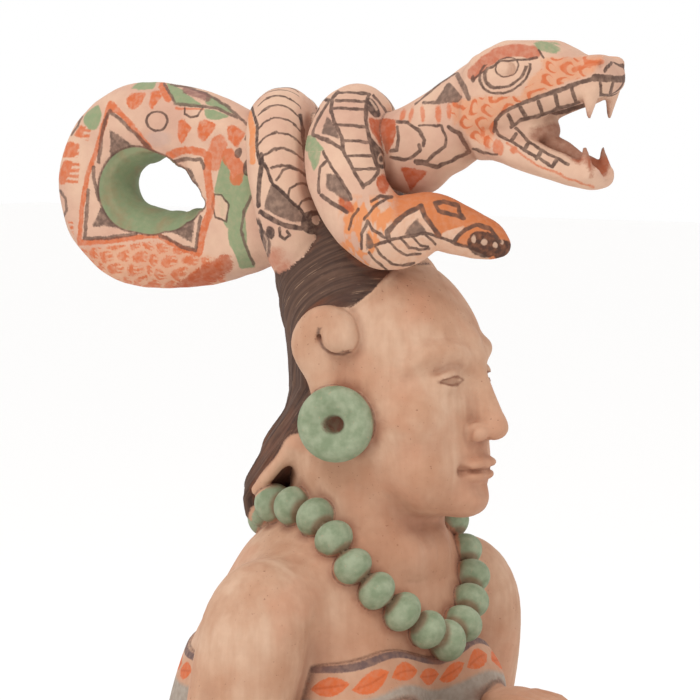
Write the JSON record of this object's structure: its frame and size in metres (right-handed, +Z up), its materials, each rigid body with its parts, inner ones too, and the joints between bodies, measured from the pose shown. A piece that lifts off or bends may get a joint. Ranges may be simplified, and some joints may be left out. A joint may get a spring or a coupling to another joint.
{
  "type": "goddess figure",
  "caption": "Seated painted clay figure of a goddess, with a knotted open-jawed snake tied round her hair, ear discs and a bead necklace, on a low oval base.",
  "frame": {"origin": "middle of the flat underside of the low base, below the middle of the body", "axes": "+Z up, the body faces -Y, +X is the figure's left"},
  "size_m": [0.1636, 0.2307, 0.3487],
  "materials": {
    "painted_clay": "matt, unglazed fired clay with painted green, orange and brown"
  },
  "bodies": {
    "root": {"goddess_figure": "painted_clay"}
  },
  "joints": []
}
